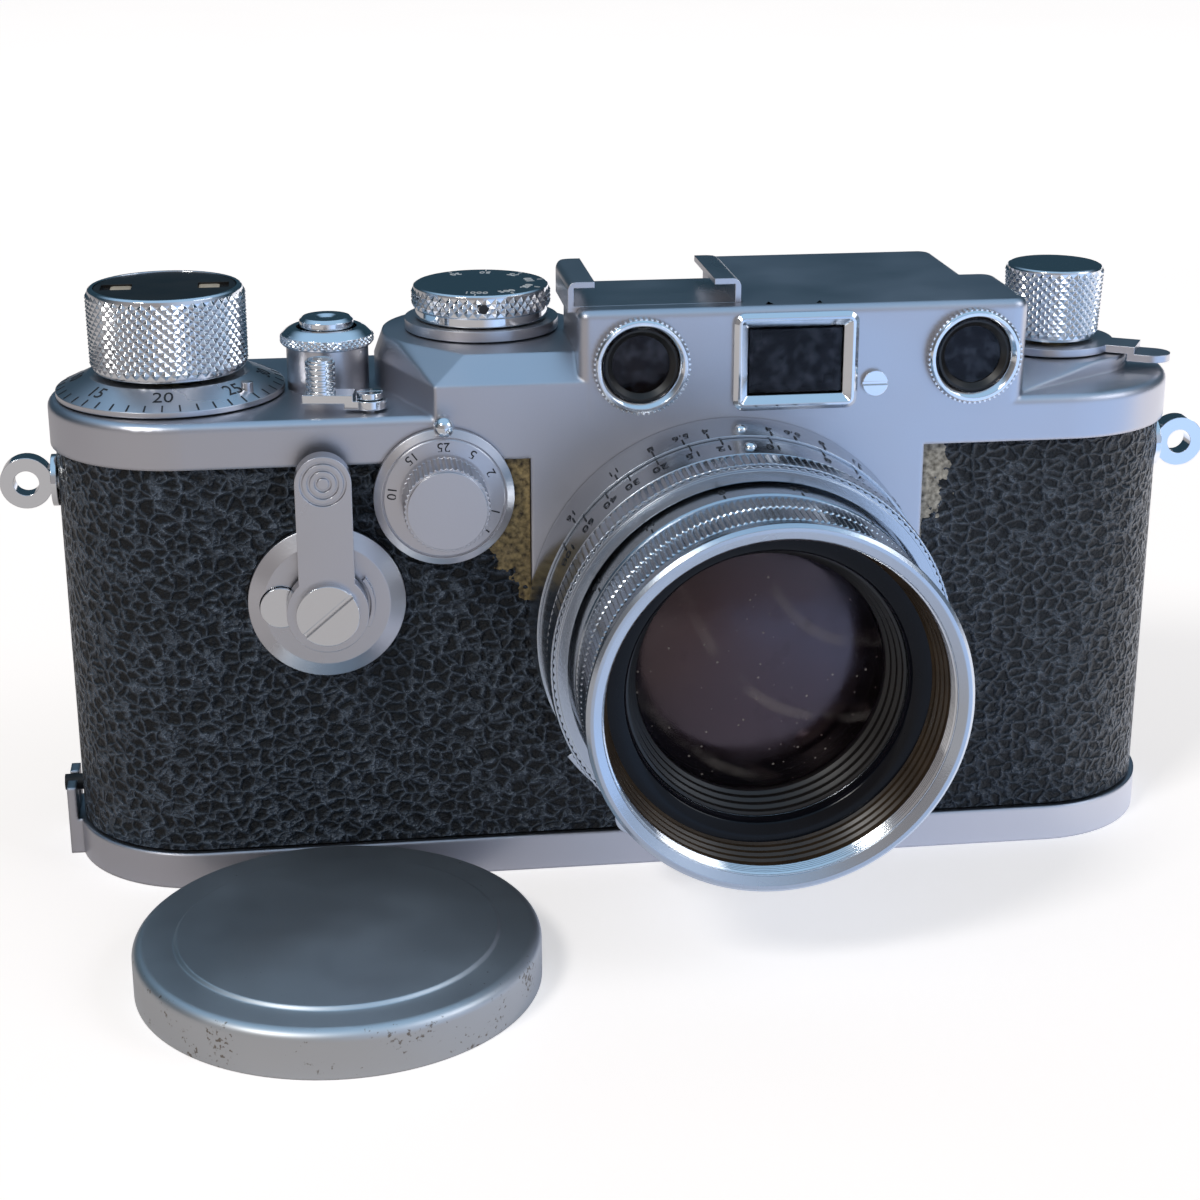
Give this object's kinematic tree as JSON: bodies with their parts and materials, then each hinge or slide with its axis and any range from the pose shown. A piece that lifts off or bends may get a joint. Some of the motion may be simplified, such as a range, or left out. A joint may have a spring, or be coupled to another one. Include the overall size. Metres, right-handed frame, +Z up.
{
  "type": "rangefinder camera",
  "caption": "Compact screw-mount film camera with a coupled rangefinder, knurled top knobs, self-timer lever, collapsible lens and a separate lens cap lying in front.",
  "frame": {"origin": "middle of the base plate's underside", "axes": "+Z up, -Y the way the lens looks, +X to the right as seen from the front"},
  "size_m": [0.1484, 0.0787, 0.0719],
  "materials": {
    "satin_chrome": "satin plating",
    "polished_chrome": "bright plating",
    "dark_alloy": "blackened",
    "black_covering": "pebbled, worn",
    "clear_glass": "coated",
    "bare_brass": "turned",
    "black_enamel": "satin black",
    "rubber_cloth": "rubberised"
  },
  "bodies": {
    "camera": {"body_shell": "dark_alloy", "leather_cover": "black_covering", "top_cover": "satin_chrome", "accessory_shoe": "satin_chrome", "window_ring_left": "polished_chrome", "window_ring_right": "polished_chrome", "window_glasses": "clear_glass", "viewfinder_frame": "polished_chrome", "viewfinder_glass": "clear_glass", "eyepiece_rings": "black_enamel", "cover_screws": "polished_chrome", "flash_socket": "polished_chrome", "strap_lugs": "polished_chrome", "mount_ring": "polished_chrome", "shutter_crate": "dark_alloy", "pressure_plate": "black_enamel", "shutter_curtains": "rubber_cloth", "rangefinder_prisms": "clear_glass", "self_timer_plate": "satin_chrome", "slow_dial_pin": "polished_chrome", "release_collar": "satin_chrome", "guard_ring": "polished_chrome", "lens_flange": "satin_chrome", "release_spring": "polished_chrome"},
    "winder": {"wind_knob": "polished_chrome", "wind_shaft": "bare_brass", "takeup_spool": "black_enamel"},
    "reminder": {"reminder_disc": "black_enamel"},
    "counter": {"counter_dial": "satin_chrome"},
    "sprocket_drive": {"sprocket": "bare_brass"},
    "drum": {"curtain_drum": "bare_brass"},
    "roller": {"curtain_roller": "bare_brass"},
    "speed_lift": {"speed_bush": "bare_brass"},
    "speed": {"speed_dial": "polished_chrome"},
    "flash_setting": {"flash_ring": "satin_chrome"},
    "release": {"release_button": "polished_chrome"},
    "clutch": {"rewind_lever": "polished_chrome"},
    "timer": {"timer_lever": "satin_chrome", "timer_screw": "polished_chrome"},
    "timer_start": {"timer_button": "polished_chrome"},
    "slow_speeds": {"slow_dial": "satin_chrome"},
    "rewind_spindle": {"rewind_shaft": "bare_brass"},
    "rewind_pull": {"rewind_knob": "polished_chrome"},
    "eyesight": {"eyesight_lever": "satin_chrome"},
    "base": {"base_plate": "satin_chrome", "tripod_bush": "bare_brass"},
    "key": {"key_hub": "satin_chrome"},
    "key_handle": {"key_ring": "polished_chrome"},
    "helix": {"lens_carrier": "black_enamel"},
    "focus": {"focus_ring": "satin_chrome"},
    "infinity_catch": {"focus_lock": "polished_chrome"},
    "collapse": {"lens_tube": "satin_chrome", "front_rim": "polished_chrome", "name_ring": "black_enamel", "front_glass": "clear_glass", "rear_glass": "clear_glass", "iris_blades": "dark_alloy"},
    "aperture": {"aperture_ring": "satin_chrome"},
    "finder_arm": {"rangefinder_arm": "bare_brass"},
    "cap": {"lens_cap": "satin_chrome"}
  },
  "joints": [
    {"name": "wind_turn", "type": "hinge", "parent": "camera", "child": "winder", "pos_m": [-0.0536, 0, 0.0575], "axis": [0, 0, 1], "continuous": true},
    {"name": "reminder_turn", "type": "hinge", "parent": "winder", "child": "reminder", "pos_m": [-0.0536, 0, 0.07], "axis": [0, 0, 1], "continuous": true},
    {"name": "counter_turn", "type": "hinge", "parent": "camera", "child": "counter", "pos_m": [-0.0536, 0, 0.058], "axis": [0, 0, 1], "continuous": true},
    {"name": "sprocket_turn", "type": "hinge", "parent": "camera", "child": "sprocket_drive", "pos_m": [-0.03505, 0, 0.051], "axis": [0, 0, 1], "continuous": true},
    {"name": "drum_turn", "type": "hinge", "parent": "camera", "child": "drum", "pos_m": [-0.0165, 0.002, 0.051], "axis": [0, 0, 1], "continuous": true},
    {"name": "roller_turn", "type": "hinge", "parent": "camera", "child": "roller", "pos_m": [0.0348, 0.004, 0.03], "axis": [0, 0, 1], "continuous": true},
    {"name": "speed_lift_slide", "type": "slide", "parent": "drum", "child": "speed_lift", "axis": [0, 0, 1], "range_m": [0, 0.0015]},
    {"name": "speed_turn", "type": "hinge", "parent": "speed_lift", "child": "speed", "pos_m": [-0.0165, 0.002, 0.067], "axis": [0, 0, 1], "continuous": true},
    {"name": "flash_turn", "type": "hinge", "parent": "camera", "child": "flash_setting", "pos_m": [-0.0165, 0.002, 0.0645], "axis": [0, 0, 1], "range_deg": [0, 300]},
    {"name": "release_press", "type": "slide", "parent": "camera", "child": "release", "axis": [0, 0, -1], "range_m": [0, 0.0012], "stiffness_N_per_m": 300, "springref_m": -0.001, "deforming": ["release_spring"]},
    {"name": "clutch_turn", "type": "hinge", "parent": "camera", "child": "clutch", "pos_m": [-0.03055, -0.0116, 0.0583], "axis": [0, 0, -1], "range_deg": [0, 32]},
    {"name": "timer_turn", "type": "hinge", "parent": "camera", "child": "timer", "pos_m": [-0.0364, -0.019, 0.0359], "axis": [0, -1, 0], "range_deg": [0, 180]},
    {"name": "timer_start_press", "type": "slide", "parent": "camera", "child": "timer_start", "axis": [0, 1, 0], "range_m": [0, 0.0006], "stiffness_N_per_m": 300, "springref_m": -0.001},
    {"name": "slow_turn", "type": "hinge", "parent": "camera", "child": "slow_speeds", "pos_m": [-0.0226, -0.017, 0.0482], "axis": [0, -1, 0], "range_deg": [-95, 115]},
    {"name": "rewind_turn", "type": "hinge", "parent": "camera", "child": "rewind_spindle", "pos_m": [0.0545, 0.002, 0.058], "axis": [0, 0, 1], "continuous": true},
    {"name": "rewind_pull_slide", "type": "slide", "parent": "rewind_spindle", "child": "rewind_pull", "axis": [0, 0, 1], "range_m": [0, 0.006]},
    {"name": "eyesight_turn", "type": "hinge", "parent": "camera", "child": "eyesight", "pos_m": [0.0545, 0.002, 0.06], "axis": [0, 0, 1], "range_deg": [0, 30]},
    {"name": "base_open", "type": "hinge", "parent": "camera", "child": "base", "pos_m": [-0.0685, 0, 0.0079], "axis": [0, 1, 0], "range_deg": [0, 60]},
    {"name": "key_turn", "type": "hinge", "parent": "base", "child": "key", "pos_m": [0.0545, 0, 0.001], "axis": [0, 0, -1], "range_deg": [0, 180]},
    {"name": "key_fold", "type": "hinge", "parent": "key", "child": "key_handle", "pos_m": [0.0545, 0, 0.00095], "axis": [-1, 0, 0], "range_deg": [0, 90]},
    {"name": "helix_travel", "type": "slide", "parent": "camera", "child": "helix", "axis": [0, -1, 0], "range_m": [0, 0.0025]},
    {"name": "focus_turn", "type": "hinge", "parent": "helix", "child": "focus", "pos_m": [0.0107, -0.02, 0.0326], "axis": [0, -1, 0], "range_deg": [0, 150]},
    {"name": "infinity_press", "type": "slide", "parent": "focus", "child": "infinity_catch", "axis": [0, 1, 0], "range_m": [0, 0.0006], "stiffness_N_per_m": 300, "springref_m": -0.001},
    {"name": "tube_pull", "type": "slide", "parent": "helix", "child": "collapse", "axis": [0, -1, 0], "range_m": [0, 0.014]},
    {"name": "aperture_turn", "type": "hinge", "parent": "collapse", "child": "aperture", "pos_m": [0.0107, -0.042, 0.0326], "axis": [0, -1, 0], "range_deg": [0, 72]},
    {"name": "finder_arm_turn", "type": "hinge", "parent": "camera", "child": "finder_arm", "pos_m": [0.0267, -0.0048, 0.05], "axis": [0, 0, 1], "range_deg": [0, 9.5]},
    {"name": "cap_away", "type": "slide", "parent": "camera", "child": "cap", "axis": [0, -1, 0], "range_m": [0, 0.06]}
  ],
  "couplings": [
    {"joint": "counter_turn", "follows": "wind_turn", "ratio": 0.025},
    {"joint": "sprocket_turn", "follows": "wind_turn", "ratio": -1},
    {"joint": "drum_turn", "follows": "wind_turn", "ratio": 1},
    {"joint": "roller_turn", "follows": "wind_turn", "ratio": 1.9688},
    {"joint": "helix_travel", "follows": "focus_turn", "m_per_rad": 0.00095},
    {"joint": "finder_arm_turn", "follows": "focus_turn", "ratio": 0.0597}
  ]
}
